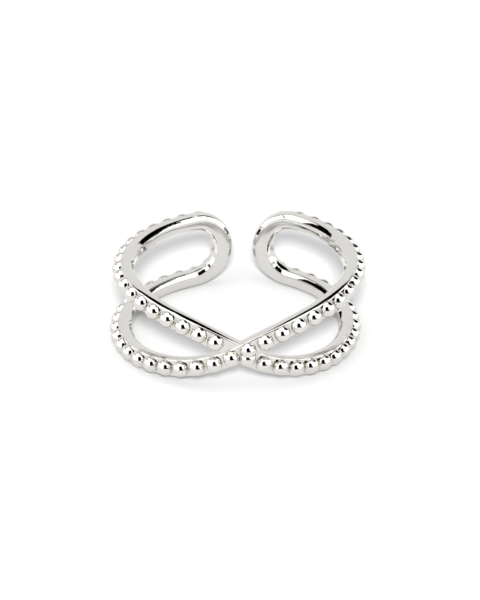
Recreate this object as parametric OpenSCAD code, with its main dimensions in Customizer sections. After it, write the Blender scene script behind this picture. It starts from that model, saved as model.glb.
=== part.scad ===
// Silver criss-cross ring with a row of round grains, open at the back.
// The ring lies on its side: the finger hole's axis is Z, the crossing faces -Y and the open
// loop ends face +Y. The origin is on the finger hole's axis, midway up the ring.

/* [Finger hole] */
// Diameter of the finger hole
finger_hole_d = 17.3; // [16.3:0.1:20.6]

/* [Band] */
// Thickness of the flat band, from the finger side to its outer face
band_thickness = 0.95; // [0.8:0.05:1.2]
// Width of the flat band at the front and sides
front_width = 1.5; // [1.3:0.05:1.6]
// Width of the flat band where it is narrowest, before it bends round a loop's end
back_width = 1.35; // [1.2:0.05:1.5]
// Width of the flat band at the tip of each loop
tip_width = 1.7; // [1.5:0.05:1.8]
// How far the bevel on the band's finger-side edges reaches outwards from the finger side
bevel_depth = 0.35; // [0.2:0.05:0.45]
// How much the bevel takes off the finger side at each edge
bevel_height = 0.3; // [0.15:0.05:0.35]

/* [Pattern] */
// Slope of each strand where the two cross, in degrees
crossing_angle = 30; // [28:0.5:32]
// Radius of the strand's bend on the front
front_bend_radius = 18; // [16:0.5:19]
// Slope at which the front bend passes into the flatter shoulder bend, in degrees
shoulder_angle = 10; // [9:0.5:12]
// Radius of the shoulder bend
shoulder_bend_radius = 42; // [36:1:46]
// How much the strands close in again towards the loop ends, in degrees
run_fall = 0.5; // [0:0.25:2]
// Opening between the two loop ends, measured at the finger side
loop_gap = 1.6; // [1.4:0.1:3]
// How much further the left loop reaches round the finger than the right one
loop_lead = 0.5; // [0:0.1:1.6]

/* [Grains] */
// Diameter of a grain
grain_d = 1.34; // [1.34:0.01:1.42]
// Height of a grain's centre above the band's outer face
grain_lift = 0.15; // [0.1:0.05:0.2]
// Grains round the left loop, counting the one that the crossing leaves no room for
left_grains = 42; // [40:1:43]
// Grains round the right loop
right_grains = 41; // [39:1:42]

/* [Hidden] */
$fn = 48;
finger_r = finger_hole_d / 2;
outer_r = finger_r + band_thickness;
grain_r = grain_d / 2;
grain_row_r = outer_r + grain_lift;
// Depth that the band's blank reaches past the finger hole's wall before the hole is cut.
bore_allowance = 0.08;
// Signs of the ring's two sides, and of its two halves above and below the middle.
LEFT = -1;
RIGHT = 1;
UPPER = 1;
LOWER = -1;

// The pattern is drawn flat, on the band's outer face unrolled from the crossing: [along, up].
// One quarter of it runs from the crossing to the tip of a loop, and the other three mirror it.
front_length = arc_length(front_bend_radius, crossing_angle - shoulder_angle);
shoulder_length = arc_length(shoulder_bend_radius, shoulder_angle + run_fall);
shoulder_start = bend([0, 0], front_bend_radius, crossing_angle, shoulder_angle);
run_start = bend(shoulder_start, shoulder_bend_radius, shoulder_angle, -run_fall);
// Shares of a quarter's length where the band starts and stops narrowing, and starts to widen.
narrows_from = 0.4;
narrows_to = 0.8;
widens_from = 0.84;
// Stations of the band's mesh along a quarter's front and run, and round its end bend.
run_steps = 30;
end_steps = 8;

function arc_length(radius, angle) = radius * angle * PI / 180;

function bend(from, radius, angle_a, angle_b) =
    from + radius * [sin(angle_a) - sin(angle_b), cos(angle_b) - cos(angle_a)];

// Distance along the unrolled pattern from the crossing to the middle of the band at the tip.
function tip_along(side) =
    outer_r * (PI - loop_gap / 2 / finger_r) - tip_width / 2 - side * loop_lead / 2;

// The end bend starts at height h, turns from the run's slope to straight down, and ends at height 0.
function end_radius(run) = (run_start[1] - run * sin(run_fall)) / cos(run_fall);

// Length of the straight run, from the two equations for how far it and the end bend reach.
function run_length(side) =
    let (
        fall = 1 - sin(run_fall),
        left_to_cover = tip_along(side) - run_start[0] - run_start[1] / cos(run_fall) * fall
    )
    left_to_cover / (cos(run_fall) - tan(run_fall) * fall);

function quarter_length(side) =
    front_length + shoulder_length + run_length(side)
    + arc_length(end_radius(run_length(side)), 90 - run_fall);

// Slope of the quarter's centre line at a distance s from the crossing, in degrees.
function slope(side, s) =
    let (
        run = run_length(side),
        run_from = front_length + shoulder_length,
        turned = (s - run_from - run) / arc_length(end_radius(run), 1)
    )
    s < front_length ? crossing_angle - s / arc_length(front_bend_radius, 1)
    : s < run_from ? shoulder_angle - (s - front_length) / arc_length(shoulder_bend_radius, 1)
    : -run_fall - max(0, turned);

// Point of the quarter's centre line at a distance s from the crossing.
function centre(side, s) =
    let (
        run = run_length(side),
        on_run = s - front_length - shoulder_length,
        angle = slope(side, s)
    )
    s < front_length ? bend([0, 0], front_bend_radius, crossing_angle, angle)
    : on_run < 0 ? bend(shoulder_start, shoulder_bend_radius, shoulder_angle, angle)
    : on_run < run ? run_start + on_run * [cos(run_fall), -sin(run_fall)]
    : bend(run_start + run * [cos(run_fall), -sin(run_fall)], end_radius(run), -run_fall, angle);

// Rises smoothly from 0 to 1 while t goes from 0 to 1.
function eased(t) = let (u = min(1, max(0, t))) u * u * (3 - 2 * u);

// The band narrows a little along the run, and widens again round the loop's end.
function width_at(side, s) =
    let (share = s / quarter_length(side))
    front_width
    + (back_width - front_width) * eased((share - narrows_from) / (narrows_to - narrows_from))
    + (tip_width - back_width) * eased((share - widens_from) / (1 - widens_from));

// Heights that only rounding keeps from 0 become 0, so that the strands meet exactly at a tip.
function at_zero(height) = abs(height) < 0.000001 ? 0 : height;

// Wraps a point of the pattern round the finger. across is measured square to the strand, away
// from the middle of the loop, and radius is the distance from the finger hole's axis.
function wrapped(side, level, s, across, radius) =
    let (
        angle = slope(side, s),
        point = centre(side, s) + across * [-sin(angle), cos(angle)],
        turn = side * point[0] / outer_r * 180 / PI
    )
    [radius * sin(turn), -radius * cos(turn), level * at_zero(point[1])];

// Upper half of the blank's cross-section: [radius, inset from the band's edge], from the outer
// face's upper corner to the finger side. The bevel goes on past the finger hole's wall.
half_section = [
    [outer_r, 0],
    [finger_r + bevel_depth, 0],
    [finger_r - bore_allowance, bevel_height * (1 + bore_allowance / bevel_depth)]
];
section_points = 2 * len(half_section);

function section(side, level, s, up) =
    let (half = width_at(side, s) / 2, last = len(half_section) - 1)
    concat(
        [for (p = half_section) wrapped(side, level, s, up * (half - p[1]), p[0])],
        [for (i = [last:-1:0])
            wrapped(side, level, s, -up * (half - half_section[i][1]), half_section[i][0])]
    );

// Distances of the stations along a quarter, from the crossing to the tip.
function stations(side) =
    let (
        whole = quarter_length(side),
        bend_from = front_length + shoulder_length + run_length(side)
    )
    concat(
        [for (i = [0:run_steps]) i * bend_from / run_steps],
        [for (i = [1:end_steps]) bend_from + i * (whole - bend_from) / end_steps]
    );

// One strand runs from the left loop's tip over the upper left, through the crossing, to the
// lower right and the right loop's tip.
module strand() {
    left = stations(LEFT);
    right = stations(RIGHT);
    rings = concat(
        [for (i = [len(left) - 1:-1:0]) section(LEFT, UPPER, left[i], 1)],
        [for (i = [1:len(right) - 1]) section(RIGHT, LOWER, right[i], -1)]
    );
    n = section_points;
    last = len(rings) - 1;
    sides = [for (i = [0:last - 1], j = [0:n - 1])
        [i * n + j, i * n + (j + 1) % n, (i + 1) * n + (j + 1) % n, (i + 1) * n + j]];
    start_cap = [for (j = [n - 1:-1:0]) j];
    end_cap = [for (j = [0:n - 1]) last * n + j];
    polyhedron([for (ring = rings) each ring], concat(sides, [start_cap, end_cap]), convexity = 10);
}

// Place of grain number k on a loop, counted from the crossing over the upper quarter.
function grain_place(side, count, k) =
    let (whole = quarter_length(side), s = (k + 0.5) * 2 * whole / count)
    s < whole ? wrapped(side, UPPER, s, 0, grain_row_r)
    : wrapped(side, LOWER, 2 * whole - s, 0, grain_row_r);

// A grain is turned so that its own X axis points straight out from the finger.
module grain(place) {
    translate(place) rotate([0, 0, atan2(place[1], place[0])]) sphere(grain_r);
}

// The left loop's first grain is left out, because the other strand's grain stands there.
module grains() {
    for (k = [1:left_grains - 1])
        grain(grain_place(LEFT, left_grains, k));
    for (k = [0:right_grains - 1])
        grain(grain_place(RIGHT, right_grains, k));
}

// Height of a strand at its crest, where it runs level.
crest_height = bend(shoulder_start, shoulder_bend_radius, shoulder_angle, 0)[1];

module ring() {
    color("silver")
        difference() {
            union() {
                strand();
                mirror([0, 0, 1]) strand();
                grains();
            }
            cylinder(r = finger_r, h = 4 * crest_height, center = true);
        }
}

ring();
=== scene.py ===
"""Looks of the open criss-cross ring: its beaded silver band, pale floor, lights and camera."""

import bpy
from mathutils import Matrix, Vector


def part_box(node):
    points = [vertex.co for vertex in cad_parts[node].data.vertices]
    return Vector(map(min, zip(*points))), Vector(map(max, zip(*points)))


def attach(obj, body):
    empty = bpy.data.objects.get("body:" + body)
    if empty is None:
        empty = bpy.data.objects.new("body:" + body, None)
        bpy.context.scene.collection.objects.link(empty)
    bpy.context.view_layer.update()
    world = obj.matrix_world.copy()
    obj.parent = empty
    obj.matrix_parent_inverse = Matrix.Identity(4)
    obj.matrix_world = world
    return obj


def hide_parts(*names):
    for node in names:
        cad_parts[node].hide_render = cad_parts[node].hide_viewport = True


bl_info = {
    "name": "Criss-cross ring",
    "version": (1, 0, 0),
    "blender": (4, 5, 0),
    "location": "View3D > Sidebar > Ring",
    "description": "Builds the polished silver criss-cross ring and its small photo studio",
    "category": "Object",
}

import math

import bmesh
import bpy
import numpy as np
from bpy.props import FloatProperty, IntProperty, PointerProperty, StringProperty
from mathutils import Euler, Matrix, Vector
from mathutils.bvhtree import BVHTree
from mathutils.interpolate import poly_3d_calc
from mathutils.kdtree import KDTree

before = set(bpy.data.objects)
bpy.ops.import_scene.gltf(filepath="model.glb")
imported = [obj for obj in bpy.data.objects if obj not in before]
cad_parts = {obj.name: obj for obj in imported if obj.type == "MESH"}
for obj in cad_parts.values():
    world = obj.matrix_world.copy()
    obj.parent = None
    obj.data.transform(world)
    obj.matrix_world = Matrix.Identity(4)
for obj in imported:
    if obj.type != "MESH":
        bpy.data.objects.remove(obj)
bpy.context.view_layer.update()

MM = 0.001
QUARTER_TURN = math.pi / 2
NODE = "ring"
# The ring lies on the floor, so the floor is at its lowest corner's height.
FLOOR_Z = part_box(NODE)[0][2]

# Signs of the ring's two sides, and of its two halves above and below the middle.
LEFT = -1
RIGHT = 1
UPPER = 1
LOWER = -1


def linear(colour):
    """Turns an sRGB hex colour into the linear values that Blender's shaders take."""
    parts = [int(colour[i:i + 2], 16) / 255 for i in (1, 3, 5)]
    return [c / 12.92 if c <= 0.04045 else ((c + 0.055) / 1.055) ** 2.4 for c in parts]


def offset(name, description, default, **limits):
    """A property that is a distance of either sign in metres, given here in millimetres."""
    return FloatProperty(
        name=name,
        description=description,
        default=default * MM,
        precision=5,
        unit="LENGTH",
        subtype="DISTANCE",
        **limits,
    )


def length(name, description, default):
    """A property that is a length in metres, given here in millimetres."""
    return offset(name, description, default, min=0.0)


def angle(name, description, default):
    """A property that is an angle, given here in degrees."""
    return FloatProperty(
        name=name,
        description=description,
        default=math.radians(default),
        unit="ROTATION",
        subtype="ANGLE",
    )


def number(name, description, default, **limits):
    """A property that is a plain number."""
    return FloatProperty(name=name, description=description, default=default, **limits)


def how_many(name, description, default):
    """A property that is a whole number of things."""
    return IntProperty(name=name, description=description, default=default, min=1)


def hex_colour(name, description, default):
    """A property that is an sRGB hex colour."""
    return StringProperty(name=name, description=description, default=default)


class BandSizes(bpy.types.PropertyGroup):
    """Sizes of the flat strand that is laid as a figure of eight round the finger."""

    finger_hole_d: length("Finger hole", "Diameter of the finger hole", 17.3)
    pattern_depth: length(
        "Pattern depth", "From the finger side to where the pattern's lengths are measured", 0.95
    )
    thickness: length("Thickness", "From the finger side to the strand's outer face", 1.12)
    front_width: length("Front width", "Width of the strand at the crossing and the sides", 1.5)
    back_width: length(
        "Back width", "Width of the strand before it bends round a loop's end", 1.35
    )
    tip_width: length("Tip width", "Width of the strand at the tip of each loop", 1.7)
    crossing_angle: angle("Crossing angle", "Slope of each strand where the two cross", 30)
    front_bend_radius: length("Front bend", "Radius of the strand's bend on the front", 18)
    shoulder_angle: angle(
        "Shoulder angle", "Slope where the front bend becomes the shoulder bend", 10
    )
    shoulder_bend_radius: length("Shoulder bend", "Radius of the flatter shoulder bend", 42)
    run_fall: angle("Run fall", "How much the strands close in towards the loop ends", 0.5)
    loop_gap: length("Loop gap", "Opening between the two loop ends", 1.6)
    loop_lead: length(
        "Loop lead", "How much further the left loop reaches than the right one", 0.5
    )
    overlap: length(
        "Overlap", "How much the upper strand is proud of the lower one where they cross", 0.05
    )
    lean: number("Lean", "How far the ring leans to the right for its height", 0.056)
    left_back: offset(
        "Left loop, back", "How much further out the left loop's end is bent", -0.074
    )
    left_side: offset(
        "Left loop, side", "How much further out the left loop's side is bent", 0.135
    )
    right_back: offset(
        "Right loop, back", "How much further out the right loop's end is bent", 0.404
    )
    right_side: offset(
        "Right loop, side", "How much further out the right loop's side is bent", -0.467
    )


class EdgeSizes(bpy.types.PropertyGroup):
    """How the strand's upper and lower edges are domed and bevelled by its polishing."""

    outer_radius: length(
        "Outer rounding", "Radius that leads from the crown to the outer face", 0.12
    )
    crown_radius: length("Crown", "Radius of the nearly flat middle of each edge", 2.25)
    crown_outer: angle("Crown, outer side", "Slope where the crown ends on the outer side", 8)
    crown_inner: angle("Crown, finger side", "Slope where the crown ends on the finger side", 8)
    inner_radius: length("Inner rounding", "Radius that leads from the crown to the bevel", 0.25)
    bevel_slope: angle("Bevel", "Slope of the bevel on the finger side", 45)
    corner_radius: length(
        "Corner", "Radius of the corner between the bevel and the finger side", 0.03
    )
    comfort_slope: angle("Comfort slope", "Slope of the finger side at its corner", 75)
    comfort_radius: length(
        "Comfort curve", "Radius by which the finger side curves back at its edges", 1.2
    )


class GrainSizes(bpy.types.PropertyGroup):
    """The single row of round grains on the strand's outer face."""

    diameter: length("Diameter", "Diameter of a grain", 1.38)
    lift: length("Lift", "Height of a grain's centre above the pattern's depth", 0.15)
    left_count: how_many(
        "Left grains", "Grains round the left loop, counting the one that is left out", 42
    )
    right_count: how_many("Right grains", "Grains round the right loop", 41)


class SilverFinish(bpy.types.PropertyGroup):
    """Colour and polish of the silver, and the painted shade in its seams."""

    colour: hex_colour("Silver", "Colour that polished silver mirrors", "#D7D5D1")
    # Painted shade: the silver is drawn darker and a little warmer in the seams between the grains
    # and the strand.
    seam_shade_colour: hex_colour("Recess", "Silver in the seams, which is a little duller", "#D0CCC5")
    roughness: number("Roughness", "Roughness of the polish", 0.05, min=0, max=1)


class StudioSettings(bpy.types.PropertyGroup):
    """The pale floor, the lights and the camera."""

    floor_colour: hex_colour("Floor", "Colour of the matt paper", "#B0B0B0")
    floor_radius: length("Floor radius", "Radius of the paper that the ring lies on", 350)
    softbox: number("Softbox", "Radiance of the softboxes beside and above the ring", 1.55)
    sweep: number("Sweep", "Radiance of the paper sweep behind the ring", 0.8)
    key: number("Key lamp", "Radiance of the key lamp in front", 260.0)
    camera_elevation: angle("Elevation", "How far the camera looks down", 28.05)
    camera_yaw: angle("Yaw", "How far the camera stands to the right of the front", -0.03)
    camera_roll: angle("Roll", "How far the camera is turned about its own axis", -0.23)
    camera_distance: length("Distance", "From the camera to the middle of the ring", 270)
    pixels_per_mm: number("Scale", "Pixels for each millimetre at the ring", 12.184)
    centre_x: number("Centre X", "Pixel column of the ring's middle", 239.36)
    centre_y: number("Centre Y", "Pixel row of the ring's middle", 296.70)


class RingSettings(bpy.types.PropertyGroup):
    """All the settings of the ring."""

    band: PointerProperty(type=BandSizes)
    edge: PointerProperty(type=EdgeSizes)
    grains: PointerProperty(type=GrainSizes)
    silver: PointerProperty(type=SilverFinish)
    studio: PointerProperty(type=StudioSettings)


# The pattern is drawn flat, unrolled from the crossing at its own depth: along and up. One
# quarter of it runs from the crossing to the tip of a loop, and the other three mirror it.


def bend(start, radius, from_slope, to_slope):
    """Points at the end of an arc that starts at a point and turns from one slope to others."""
    along = start[0] + radius * (np.sin(from_slope) - np.sin(to_slope))
    up = start[1] + radius * (np.cos(to_slope) - np.cos(from_slope))
    return along, up


def eased(t):
    """Rises smoothly from 0 to 1 while t goes from 0 to 1."""
    t = np.clip(t, 0, 1)
    return t * t * (3 - 2 * t)


class Pattern:
    """The unrolled centre line of the strand, and its width."""

    # Shares of a quarter where the strand starts and stops narrowing, and starts to widen.
    NARROWS_FROM = 0.4
    NARROWS_TO = 0.8
    WIDENS_FROM = 0.84

    def __init__(self, band):
        self.band = band
        self.finger_r = band.finger_hole_d / 2
        self.pattern_r = self.finger_r + band.pattern_depth
        self.front = band.front_bend_radius * (band.crossing_angle - band.shoulder_angle)
        self.shoulder = band.shoulder_bend_radius * (band.shoulder_angle + band.run_fall)
        self.shoulder_start = bend(
            (0, 0), band.front_bend_radius, band.crossing_angle, band.shoulder_angle
        )
        self.run_start = bend(
            self.shoulder_start, band.shoulder_bend_radius, band.shoulder_angle, -band.run_fall
        )

    def tip(self, side):
        """Distance along the pattern from the crossing to the strand's middle at the tip."""
        band = self.band
        gap = band.loop_gap / 2 / self.finger_r
        return self.pattern_r * (math.pi - gap) - band.tip_width / 2 - side * band.loop_lead / 2

    def run(self, side):
        """Length of the straight run before the end bend."""
        fall = self.band.run_fall
        rest = 1 - math.sin(fall)
        reach = self.tip(side) - self.run_start[0] - self.run_start[1] / math.cos(fall) * rest
        return reach / (math.cos(fall) - math.tan(fall) * rest)

    def end_radius(self, side):
        """Radius of the bend that leads the strand from the run to the tip."""
        fall = self.band.run_fall
        return (self.run_start[1] - self.run(side) * math.sin(fall)) / math.cos(fall)

    def bend_from(self, side):
        """Distance from the crossing to where the end bend starts."""
        return self.front + self.shoulder + self.run(side)

    def whole(self, side):
        """Length of a quarter."""
        turned = QUARTER_TURN - self.band.run_fall
        return self.bend_from(side) + self.end_radius(side) * turned

    def slope(self, side, s):
        """Slopes of the centre line at distances s from the crossing."""
        band = self.band
        on_shoulder = band.shoulder_angle - (s - self.front) / band.shoulder_bend_radius
        turned = np.maximum(0, (s - self.bend_from(side)) / self.end_radius(side))
        return np.where(
            s < self.front,
            band.crossing_angle - s / band.front_bend_radius,
            np.where(s < self.front + self.shoulder, on_shoulder, -band.run_fall - turned),
        )

    def centre(self, side, s):
        """Points of the centre line at distances s from the crossing."""
        band = self.band
        slope = self.slope(side, s)
        fall = band.run_fall
        on_run = s - self.front - self.shoulder
        run = self.run(side)
        run_end = (
            self.run_start[0] + run * math.cos(fall),
            self.run_start[1] - run * math.sin(fall),
        )
        stretches = (
            bend((0, 0), band.front_bend_radius, band.crossing_angle, slope),
            bend(self.shoulder_start, band.shoulder_bend_radius, band.shoulder_angle, slope),
            (
                self.run_start[0] + on_run * math.cos(fall),
                self.run_start[1] - on_run * math.sin(fall),
            ),
            bend(run_end, self.end_radius(side), -fall, slope),
        )
        which = [s < self.front, on_run < 0, on_run < run]
        return [
            np.select(which, [part[axis] for part in stretches[:3]], stretches[3][axis])
            for axis in (0, 1)
        ]

    def half_width(self, side, s):
        """Half of the strand's width at distances s from the crossing."""
        band = self.band
        share = s / self.whole(side)
        narrowed = eased((share - self.NARROWS_FROM) / (self.NARROWS_TO - self.NARROWS_FROM))
        widened = eased((share - self.WIDENS_FROM) / (1 - self.WIDENS_FROM))
        return (
            band.front_width
            + (band.back_width - band.front_width) * narrowed
            + (band.tip_width - band.back_width) * widened
        ) / 2

    def bent(self, side, turn):
        """How much further out than round the open ring is bent."""
        band = self.band
        if side == LEFT:
            back, beside = band.left_back, band.left_side
        else:
            back, beside = band.right_back, band.right_side
        return back * (1 - np.cos(turn)) / 2 + beside * np.sin(turn) ** 2

    def wrapped(self, side, level, s, across, radius):
        """Wraps points of the pattern round the finger. across is square to the strand."""
        slope = self.slope(side, s)
        along, up = self.centre(side, s)
        along = along - across * np.sin(slope)
        up = up + across * np.cos(slope)
        turn = side * along / self.pattern_r
        height = level * up
        out = radius + self.bent(side, turn)
        x = out * np.sin(turn) + self.band.lean * height
        y = -out * np.cos(turn)
        return np.stack([x, y, height], axis=-1)


# The most that a rounding turns from one facet to the next, so that it mirrors smoothly.
ARC_STEP = math.radians(8)
# How much the bevel's slope changes from its middle to either end.
BEVEL_DOME = math.radians(1)


def arc_steps(from_slope, to_slope):
    """Slopes along a rounding."""
    steps = max(1, math.ceil(abs(to_slope - from_slope) / ARC_STEP))
    return np.linspace(from_slope, to_slope, steps + 1)


def half_section(band, edge):
    """Upper half of the strand's cross-section: depths outwards from the finger side, insets from
    the top of its domed edge, and slopes, which are 0 on top and positive on the outer side."""
    bevel_from, bevel_to = edge.bevel_slope - BEVEL_DOME, edge.bevel_slope + BEVEL_DOME
    outside = [
        (edge.outer_radius, QUARTER_TURN, edge.crown_outer),
        (edge.crown_radius, edge.crown_outer, -edge.crown_inner),
        (edge.inner_radius, -edge.crown_inner, -bevel_from),
    ]
    finger_side = [
        (edge.corner_radius, -bevel_to, -edge.comfort_slope),
        (edge.comfort_radius, -edge.comfort_slope, -QUARTER_TURN),
    ]
    # The bevel takes up the depth that the roundings leave.
    rest = band.thickness
    for radius, start, end in outside + finger_side:
        rest -= radius * (math.sin(start) - math.sin(end))
    if rest <= 0:
        raise ValueError("the roundings are too large for the strand's thickness")
    bevel_radius = rest / (math.sin(bevel_to) - math.sin(bevel_from))
    depths, heights, slopes = [band.thickness], [0.0], [QUARTER_TURN]
    for radius, start, end in [*outside, (bevel_radius, -bevel_from, -bevel_to), *finger_side]:
        depth, height = depths[-1], heights[-1]
        for slope in arc_steps(start, end)[1:]:
            depths.append(depth + radius * (math.sin(slope) - math.sin(start)))
            heights.append(height + radius * (math.cos(slope) - math.cos(start)))
            slopes.append(slope)
    return np.array(depths), max(heights) - np.array(heights), np.array(slopes)


# Distance from one cross-section to the next along the strand, and round a loop's end, where it
# curves more.
STATION_STEP = 0.3 * MM
BEND_STATION_STEP = 0.16 * MM
# Share of a strand's rise that its finger side follows, so that the two strands' faces never
# coincide.
FINGER_SIDE_RISE = 0.2
# Distance from the crossing over which the upper strand comes down to the lower one's level.
RISE_REACH = 3 * MM
# An icosphere of this level has 1280 triangles, enough to mirror without facets.
GRAIN_SUBDIVISIONS = 4
# Half the step between the two points that a tangent is measured from.
TINY = 0.001 * MM


def stations(pattern, side):
    """Distances of the stations along a quarter, from the crossing to the tip."""
    bend_from, whole = pattern.bend_from(side), pattern.whole(side)
    straight = np.linspace(0, bend_from, math.ceil(bend_from / STATION_STEP) + 1)
    bent = np.linspace(bend_from, whole, math.ceil((whole - bend_from) / BEND_STATION_STEP) + 1)
    return np.concatenate([straight, bent[1:]])


def section_rings(pattern, edge, side, level, s, flip, rise):
    """Closed cross-sections of the strand at each station: points, and tangents around them."""
    depths, insets, slopes = half_section(pattern.band, edge)
    half = pattern.half_width(side, s)[:, None]
    across = flip * np.concatenate([half - insets, -(half - insets)[:, ::-1]], axis=1)
    depth = np.concatenate([depths, depths[::-1]])[None, :]
    share = depth / pattern.band.thickness
    depth = depth + rise(s)[:, None] * (FINGER_SIDE_RISE + (1 - FINGER_SIDE_RISE) * share)
    to_depth = TINY * np.concatenate([np.cos(slopes), -np.cos(slopes[::-1])])[None, :]
    to_across = -TINY * flip * np.concatenate([np.sin(slopes), np.sin(slopes[::-1])])[None, :]
    along = np.repeat(s[:, None], across.shape[1], axis=1)

    def placed(step):
        radius = pattern.finger_r + depth + step * to_depth
        return pattern.wrapped(side, level, along, across + step * to_across, radius)

    return placed(0), placed(1) - placed(-1)


def strand_surface(pattern, edge, upper_side, rise):
    """One strand over the top of one loop, through the crossing, to the bottom of the other:
    a grid of its points and of its true normals, with a cross-section in each row."""
    first, second = stations(pattern, upper_side), stations(pattern, -upper_side)
    upper = section_rings(pattern, edge, upper_side, UPPER, first, 1, rise)
    lower = section_rings(pattern, edge, -upper_side, LOWER, second[1:], -1, rise)
    points, around = [np.concatenate([u[::-1], l]) for u, l in zip(upper, lower)]
    # The strands meet exactly at the tips.
    points[0, :, 2] = 0
    points[-1, :, 2] = 0
    mirror = np.array([1, 1, -1])
    before = np.concatenate([points[1:2] * mirror, points[:-1]])
    after = np.concatenate([points[1:], points[-2:-1] * mirror])
    normals = np.cross(after - before, around)
    normals /= np.linalg.norm(normals, axis=2, keepdims=True)
    outwards = points - points.mean(axis=1, keepdims=True)
    if (normals * outwards).sum() < 0:
        normals = -normals
    return points, normals


def grid_faces(rows, around):
    """Four-sided faces of a strand's grid of points."""
    i, j = np.meshgrid(np.arange(rows - 1), np.arange(around), indexing="ij")
    k = (j + 1) % around
    quads = [i * around + j, i * around + k, (i + 1) * around + k, (i + 1) * around + j]
    return np.stack(quads, -1).reshape(-1, 4).tolist()


def strand_faces(rows, around):
    """Faces of a strand's grid, with a cap at each end."""
    caps = [list(range(around))[::-1], list(range((rows - 1) * around, rows * around))]
    return grid_faces(rows, around) + caps


def grain_centres(pattern, grains, side, grain_count):
    """Places of a loop's grains, counted from the crossing over its upper half, and the half
    that each is on."""
    whole = pattern.whole(side)
    s = (np.arange(grain_count) + 0.5) * 2 * whole / grain_count
    radius = pattern.pattern_r + grains.lift
    upper = pattern.wrapped(side, UPPER, np.minimum(s, whole), 0, radius)
    lower = pattern.wrapped(side, LOWER, np.minimum(2 * whole - s, whole), 0, radius)
    on_top = s < whole
    return np.where(on_top[:, None], upper, lower), np.where(on_top, UPPER, LOWER)


def grains_of_strand(pattern, grains, upper_side):
    """Centres of the grains on one strand. The left loop's first grain, right beside the
    crossing, is left out, because the other strand's grain stands there."""
    centres = []
    for side, grain_count in ((LEFT, grains.left_count), (RIGHT, grains.right_count)):
        places, levels = grain_centres(pattern, grains, side, grain_count)
        first = 1 if side == LEFT else 0
        own = levels[first:] == (UPPER if side == upper_side else LOWER)
        centres.append(places[first:][own])
    return np.concatenate(centres)


def grains_mesh(centres, radius):
    """Round grains at the given places, as one mesh."""
    builder = bmesh.new()
    bmesh.ops.create_icosphere(builder, subdivisions=GRAIN_SUBDIVISIONS, radius=radius)
    points = np.array([v.co for v in builder.verts])
    faces = np.array([[v.index for v in f.verts] for f in builder.faces])
    builder.free()
    every = (centres[:, None, :] + points[None, :, :]).reshape(-1, 3)
    shift = (np.arange(len(centres)) * len(points))[:, None, None]
    return every, (faces[None, :, :] + shift).reshape(-1, 3).tolist()


def closed_object(name, points, faces):
    """A mesh object of a closed surface whose faces all point outwards."""
    mesh = bpy.data.meshes.new(name)
    mesh.from_pydata(points.tolist(), [], faces)
    builder = bmesh.new()
    builder.from_mesh(mesh)
    if builder.calc_volume(signed=True) < 0:
        bmesh.ops.reverse_faces(builder, faces=builder.faces)
    builder.to_mesh(mesh)
    builder.free()
    made = bpy.data.objects.new(name, mesh)
    bpy.context.scene.collection.objects.link(made)
    return made


def united(first, others):
    """Unites closed objects into the first one and removes the others."""
    for other in others:
        union = first.modifiers.new("unite", "BOOLEAN")
        union.operation = "UNION"
        union.solver = "MANIFOLD"
        union.object = other
    bpy.context.view_layer.update()
    shaped = first.evaluated_get(bpy.context.evaluated_depsgraph_get())
    mesh = bpy.data.meshes.new_from_object(shaped)
    first.modifiers.clear()
    first.data = mesh
    for other in others:
        bpy.data.objects.remove(other)
    return first


class StrandNormals:
    """Looks up a strand's true normal at a point near its surface."""

    def __init__(self, points, normals):
        self.points = [Vector(p) for p in points.reshape(-1, 3)]
        self.normals = normals.reshape(-1, 3)
        quads = grid_faces(*points.shape[:2])
        self.triangles = [t for a, b, c, d in quads for t in ((a, b, c), (a, c, d))]
        self.tree = BVHTree.FromPolygons(self.points, self.triangles)

    def distance(self, point):
        """How far a point is from the strand's surface."""
        return self.tree.find_nearest(point)[3]

    def at(self, point):
        """The normal where the surface is nearest to a point."""
        place, _, index, _ = self.tree.find_nearest(point)
        corners = self.triangles[index]
        weights = poly_3d_calc([self.points[i] for i in corners], place)
        return sum(w * self.normals[i] for w, i in zip(weights, corners))


# A face belongs to a grain if its middle lies this close to the ball, and it faces out from it.
ON_GRAIN = 0.006 * MM
FACES_OUT = 0.98
# Distance from the seams over which painted shade darkens the silver.
SEAM_SHADE_REACH = 0.14 * MM


def tree_of(centres):
    """A search tree that finds the grain nearest to a point."""
    tree = KDTree(len(centres))
    for i, centre in enumerate(centres):
        tree.insert(centre, i)
    tree.balance()
    return tree


def set_true_normals(mesh, strands, tree, radius):
    """Gives every corner the normal of the ball or strand that it is cut from, so that the cuts
    don't show in the mirror polish."""
    found = {}
    normals = [None] * len(mesh.loops)
    for face in mesh.polygons:
        middle = face.center
        centre, _, away = tree.find(middle)
        outward = (middle - centre) / away
        if abs(away - radius) < ON_GRAIN and outward.dot(face.normal) > FACES_OUT:
            for corner in face.loop_indices:
                point = mesh.vertices[mesh.loops[corner].vertex_index].co
                normals[corner] = (point - centre).normalized()
            continue
        nearest = min(range(len(strands)), key=lambda i: strands[i].distance(middle))
        for corner in face.loop_indices:
            index = mesh.loops[corner].vertex_index
            key = (nearest, index)
            if key not in found:
                found[key] = strands[nearest].at(mesh.vertices[index].co)
            normals[corner] = found[key]
    mesh.shade_smooth()
    mesh.normals_split_custom_set(normals)


def paint_seam_shade(mesh, strands, tree, radius):
    """Writes the attribute that masks the painted shade in the seams: 1 in the seams between the
    grains and the strand, falling to 0 at the reach of the shade."""
    seam_shade = np.zeros(len(mesh.vertices))
    for vertex in mesh.vertices:
        away = tree.find(vertex.co)[2] - radius
        if away <= ON_GRAIN:
            away = min(strand.distance(vertex.co) for strand in strands)
        seam_shade[vertex.index] = max(0, 1 - away / SEAM_SHADE_REACH)
    mesh.attributes.new("seam_shade", "FLOAT", "POINT").data.foreach_set("value", seam_shade)


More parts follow.
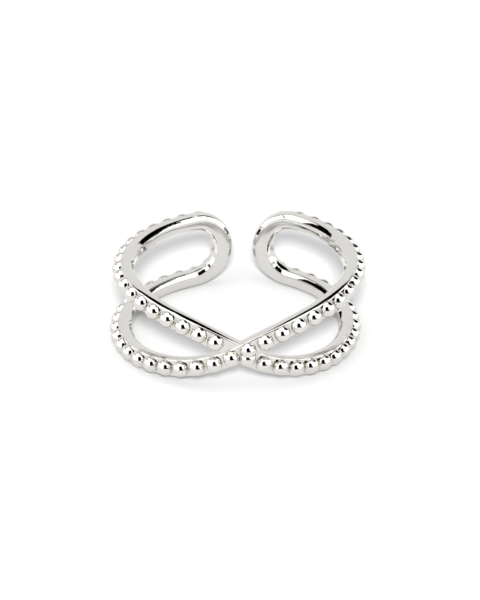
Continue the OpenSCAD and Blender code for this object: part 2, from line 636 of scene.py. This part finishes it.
def add_node(tree, kind, inputs=None, **options):
    """Adds a node with its settings. An input is a value, or another node's output to link."""
    made = tree.nodes.new(kind)
    for name, value in options.items():
        setattr(made, name, value)
    for name, value in (inputs or {}).items():
        socket = made.inputs[name]
        if isinstance(value, bpy.types.NodeSocket):
            tree.links.new(value, socket)
        else:
            socket.default_value = value
    return made


def new_material(name):
    """An empty node material and its tree."""
    material = bpy.data.materials.new(name)
    material.use_nodes = True
    material.node_tree.nodes.clear()
    return material, material.node_tree


def noise_scale(size):
    """Scale of a noise texture whose features have a real size, on coordinates in metres."""
    return 1 / size


# Width and depth of the shallow unevenness that the polishing wheel leaves, how much of it shows,
# and how many octaves of finer unevenness it has.
WHEEL_MARK = 1.1 * MM
WHEEL_DEPTH = 0.02 * MM
WHEEL_STRENGTH = 0.25
WHEEL_DETAIL = 2.0
# Wear marks are really under 0.01 mm wide, and are drawn as coarse as the render can show.
WEAR_MARK = 0.12 * MM
WEAR_DETAIL = 3.0
# How much rougher or smoother than the rest the wear makes the polish.
WEAR_SPREAD = 0.4
# The range that nearly all of a noise texture's values lie in.
NOISE_LOW = 0.35
NOISE_HIGH = 0.65
# Sockets of a Mix node's two colours and of the colour that it gives.
MIX_A = 6
MIX_B = 7
MIX_RESULT = 2


def polished_silver(silver):
    """Sterling silver, cast and polished to a mirror. It gives the eye crisp reflections that are
    a little warm and faintly uneven where the wheel has passed, with painted shade that makes the
    silver darker and a little warmer in the seams."""
    material, tree = new_material("polished_silver")
    place = add_node(tree, "ShaderNodeTexCoord").outputs["Object"]
    wheel = add_node(
        tree,
        "ShaderNodeTexNoise",
        {"Vector": place, "Scale": noise_scale(WHEEL_MARK), "Detail": WHEEL_DETAIL},
    )
    wear = add_node(
        tree,
        "ShaderNodeTexNoise",
        {"Vector": place, "Scale": noise_scale(WEAR_MARK), "Detail": WEAR_DETAIL},
    )
    rough = add_node(
        tree,
        "ShaderNodeMapRange",
        {
            "Value": wear.outputs["Fac"],
            "From Min": NOISE_LOW,
            "From Max": NOISE_HIGH,
            "To Min": silver.roughness * (1 - WEAR_SPREAD),
            "To Max": silver.roughness * (1 + WEAR_SPREAD),
        },
    )
    uneven = add_node(
        tree,
        "ShaderNodeBump",
        {"Height": wheel.outputs["Fac"], "Strength": WHEEL_STRENGTH, "Distance": WHEEL_DEPTH},
    )
    # Painted shade: in the seams the silver's colour is mixed towards the darker, warmer colour.
    seam_shade = add_node(tree, "ShaderNodeAttribute", attribute_name="seam_shade")
    seam_shaded_silver = add_node(
        tree,
        "ShaderNodeMix",
        {
            "Factor": seam_shade.outputs["Fac"],
            MIX_A: (*linear(silver.colour), 1),
            MIX_B: (*linear(silver.seam_shade_colour), 1),
        },
        data_type="RGBA",
    )
    shader = add_node(
        tree,
        "ShaderNodeBsdfPrincipled",
        {
            "Base Color": seam_shaded_silver.outputs[MIX_RESULT],
            "Metallic": 1.0,
            "Roughness": rough.outputs["Result"],
            "Normal": uneven.outputs["Normal"],
        },
    )
    add_node(tree, "ShaderNodeOutputMaterial", {"Surface": shader.outputs["BSDF"]})
    return material


def matt_paper(studio):
    """Matt pale grey photo paper. Under the lights it gives the eye a soft white ground, with
    soft grey shadows and no gloss."""
    material, tree = new_material("matt_paper")
    shader = add_node(
        tree,
        "ShaderNodeBsdfPrincipled",
        {
            "Base Color": (*linear(studio.floor_colour), 1),
            "Roughness": 1.0,
            "Specular IOR Level": 0.0,
        },
    )
    add_node(tree, "ShaderNodeOutputMaterial", {"Surface": shader.outputs["BSDF"]})
    return material


class RING_OT_beaded_band(bpy.types.Operator):
    """Build the beaded silver band in place of the plain solid"""

    bl_idname = "ring.beaded_band"
    bl_label = "Beaded band"

    def execute(self, context):
        ring = context.scene.criss_cross_ring
        pattern = Pattern(ring.band)
        radius = ring.grains.diameter / 2

        def level(s):
            return np.zeros_like(s)

        def raised(s):
            return ring.band.overlap * (1 - eased(s / RISE_REACH))

        strands, pieces, centres = [], [], []
        for upper_side, rise in ((LEFT, level), (RIGHT, raised)):
            points, normals = strand_surface(pattern, ring.edge, upper_side, rise)
            strands.append(StrandNormals(points, normals))
            faces = strand_faces(*points.shape[:2])
            pieces.append(closed_object("strand", points.reshape(-1, 3), faces))
            centres.append(grains_of_strand(pattern, ring.grains, upper_side))
            pieces.append(closed_object("grains", *grains_mesh(centres[-1], radius)))
        band = united(pieces[0], pieces[1:])
        band.name = "beaded_band"
        tree = tree_of(np.concatenate(centres))
        set_true_normals(band.data, strands, tree, radius)
        # Painted shade in the seams between the grains and the strand, written as a mask on the
        # mesh.
        paint_seam_shade(band.data, strands, tree, radius)
        band.data.materials.clear()
        band.data.materials.append(polished_silver(ring.silver))
        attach(band, "root")
        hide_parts(NODE)
        return {"FINISHED"}


# Which way each light faces. The middle angle of the first three turns it in its own plane.
FACING_RIGHT = Euler((QUARTER_TURN, math.radians(-38), -QUARTER_TURN))
FACING_LEFT = Euler((QUARTER_TURN, math.radians(45), QUARTER_TURN))
FACING_FRONT = Euler((QUARTER_TURN, math.radians(-15), 2 * QUARTER_TURN))
FACING_DOWN = Euler((0, 0, math.radians(18)))

# The softboxes and the sweep are rectangles: place, facing, width and height, in metres.
SOFTBOXES = {
    "softbox_left": ((-0.6, -0.613, 0.271), FACING_RIGHT, 1.7, 1.231),
    "softbox_right": ((0.6, -0.441, 0.407), FACING_LEFT, 1.8, 0.857),
    "softbox_top": ((-0.237, 0.002, 0.8), FACING_DOWN, 1.05, 1.05),
    "softbox_top_right": ((0.45, -0.3, 0.8), FACING_DOWN, 0.6, 0.6),
}
PAPER_SWEEP = ((-0.054, 0.8, 0.185), FACING_FRONT, 2.4, 1)
KEY_LAMP_PLACE = Vector((0, -0.746, 0.503))
KEY_LAMP_SIZE = 0.13

# Blender gives an area light its power. This turns a radiance into power for each square metre.
POWER_PER_RADIANCE = 4

FLOOR_SIDES = 128


def lay_floor(studio):
    """A round sheet of paper under the ring."""
    builder = bmesh.new()
    bmesh.ops.create_circle(
        builder, cap_ends=True, radius=studio.floor_radius, segments=FLOOR_SIDES
    )
    mesh = bpy.data.meshes.new("paper_floor")
    builder.to_mesh(mesh)
    builder.free()
    mesh.materials.append(matt_paper(studio))
    floor = bpy.data.objects.new("paper_floor", mesh)
    floor.location.z = FLOOR_Z
    bpy.context.scene.collection.objects.link(floor)


def hang_light(name, place, facing, width, height, radiance):
    """A rectangular light. It shines along its own -Z axis and doesn't show to the camera."""
    lamp = bpy.data.lights.new(name, "AREA")
    lamp.shape = "RECTANGLE"
    lamp.size = width
    lamp.size_y = height
    lamp.energy = radiance * width * height * POWER_PER_RADIANCE
    made = bpy.data.objects.new(name, lamp)
    made.matrix_world = Matrix.Translation(place) @ facing.to_matrix().to_4x4()
    made.visible_camera = False
    bpy.context.scene.collection.objects.link(made)
    return made


def hang_lights(studio):
    """Softboxes to the left, to the right and overhead, the paper sweep behind, and a key lamp in
    front, which throws the soft shadows and doesn't show in the silver."""
    for name, box in SOFTBOXES.items():
        hang_light(name, *box, studio.softbox)
    hang_light("paper_sweep", *PAPER_SWEEP, studio.sweep)
    facing = KEY_LAMP_PLACE.to_track_quat("Z", "Y")
    key = hang_light(
        "key_lamp", KEY_LAMP_PLACE, facing, KEY_LAMP_SIZE, KEY_LAMP_SIZE, studio.key
    )
    key.visible_glossy = False


def dim_the_room(scene):
    """The room is dark beyond the lights, and white where the camera looks past the floor."""
    world = bpy.data.worlds.new("studio_room")
    world.use_nodes = True
    tree = world.node_tree
    tree.nodes.clear()
    seen = add_node(tree, "ShaderNodeLightPath").outputs["Is Camera Ray"]
    pale = add_node(tree, "ShaderNodeBackground", {"Color": (1, 1, 1, 1), "Strength": seen})
    add_node(tree, "ShaderNodeOutputWorld", {"Surface": pale.outputs["Background"]})
    scene.world = world
    scene.view_settings.view_transform = "Standard"


# Height of the camera's sensor, in millimetres.
SENSOR = 36
# Size of the photograph, in pixels.
PHOTO_WIDTH = 480
PHOTO_HEIGHT = 600
# The nearest and furthest that the camera sees, in metres.
NEAREST = 0.01
FURTHEST = 10


def place_camera(scene, studio):
    """Stands the camera where the photograph was taken from."""
    elevation, yaw, roll = studio.camera_elevation, studio.camera_yaw, studio.camera_roll
    data = bpy.data.cameras.new("camera")
    data.sensor_fit = "VERTICAL"
    data.sensor_height = SENSOR
    data.lens = studio.pixels_per_mm * studio.camera_distance / MM * SENSOR / PHOTO_HEIGHT
    data.shift_x = (PHOTO_WIDTH / 2 - studio.centre_x) / PHOTO_HEIGHT
    data.shift_y = (studio.centre_y - PHOTO_HEIGHT / 2) / PHOTO_HEIGHT
    data.clip_start = NEAREST
    data.clip_end = FURTHEST
    back = Vector((
        math.sin(yaw) * math.cos(elevation),
        -math.cos(yaw) * math.cos(elevation),
        math.sin(elevation),
    ))
    camera = bpy.data.objects.new("camera", data)
    turn = back.to_track_quat("Z", "Y").to_matrix() @ Matrix.Rotation(roll, 3, "Z")
    camera.matrix_world = Matrix.Translation(back * studio.camera_distance) @ turn.to_4x4()
    scene.collection.objects.link(camera)
    scene.camera = camera


class RING_OT_studio(bpy.types.Operator):
    """Lay the pale floor and set up the lights and the camera"""

    bl_idname = "ring.studio"
    bl_label = "Studio"

    def execute(self, context):
        studio = context.scene.criss_cross_ring.studio
        lay_floor(studio)
        hang_lights(studio)
        dim_the_room(context.scene)
        place_camera(context.scene, studio)
        return {"FINISHED"}


class RING_PT_panel(bpy.types.Panel):
    """Builds the ring and its studio, and lists their settings"""

    bl_label = "Criss-cross ring"
    bl_idname = "RING_PT_panel"
    bl_space_type = "VIEW_3D"
    bl_region_type = "UI"
    bl_category = "Ring"

    def draw(self, context):
        ring = context.scene.criss_cross_ring
        for operator, groups in (
            (RING_OT_beaded_band, (ring.band, ring.edge, ring.grains, ring.silver)),
            (RING_OT_studio, (ring.studio,)),
        ):
            box = self.layout.box()
            box.operator(operator.bl_idname)
            for group in groups:
                for name in group.__annotations__:
                    box.prop(group, name)


CLASSES = (
    BandSizes,
    EdgeSizes,
    GrainSizes,
    SilverFinish,
    StudioSettings,
    RingSettings,
    RING_OT_beaded_band,
    RING_OT_studio,
    RING_PT_panel,
)


def register():
    for cls in CLASSES:
        bpy.utils.register_class(cls)
    bpy.types.Scene.criss_cross_ring = PointerProperty(type=RingSettings)


def unregister():
    del bpy.types.Scene.criss_cross_ring
    for cls in reversed(CLASSES):
        bpy.utils.unregister_class(cls)


def main():
    register()
    bpy.ops.ring.beaded_band()
    bpy.ops.ring.studio()
    bpy.context.view_layer.update()


if __name__ == "__main__":
    main()
